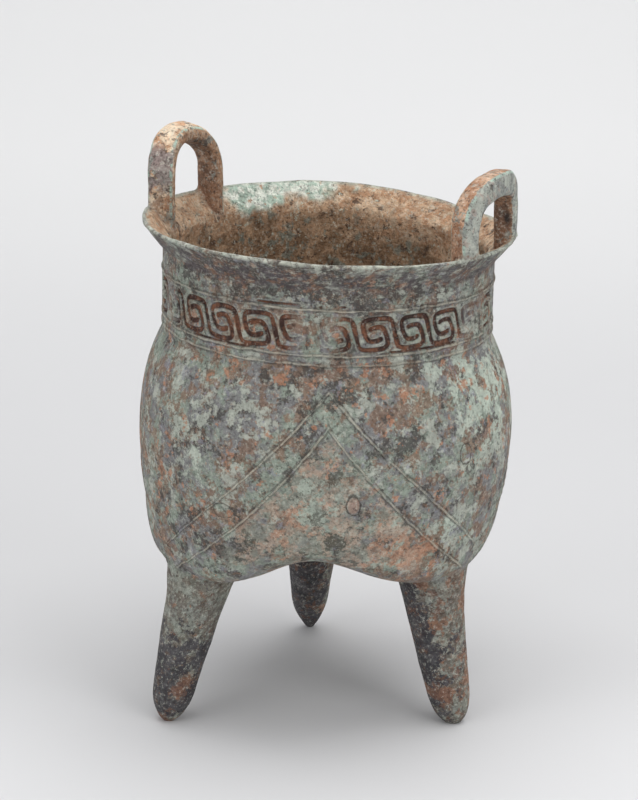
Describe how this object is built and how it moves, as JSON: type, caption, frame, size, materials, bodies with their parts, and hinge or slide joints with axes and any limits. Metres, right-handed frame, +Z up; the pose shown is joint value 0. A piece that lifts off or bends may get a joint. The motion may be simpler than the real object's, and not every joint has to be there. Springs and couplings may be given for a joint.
{
  "type": "li tripod vessel",
  "caption": "Cast bronze li tripod: a hollow lobed belly on splayed pointed legs, round neck with a meander band, flared lip and upright loop handles.",
  "frame": {"origin": "on the ground under the middle of the bounding box", "axes": "+Z up out of the mouth; the handles stand on the X axis, the one at +X above a leg"},
  "size_m": [0.1412, 0.1426, 0.2225],
  "materials": {
    "bronze": "matt corroded patina over cast bronze"
  },
  "bodies": {
    "root": {"vessel": "bronze"}
  },
  "joints": []
}
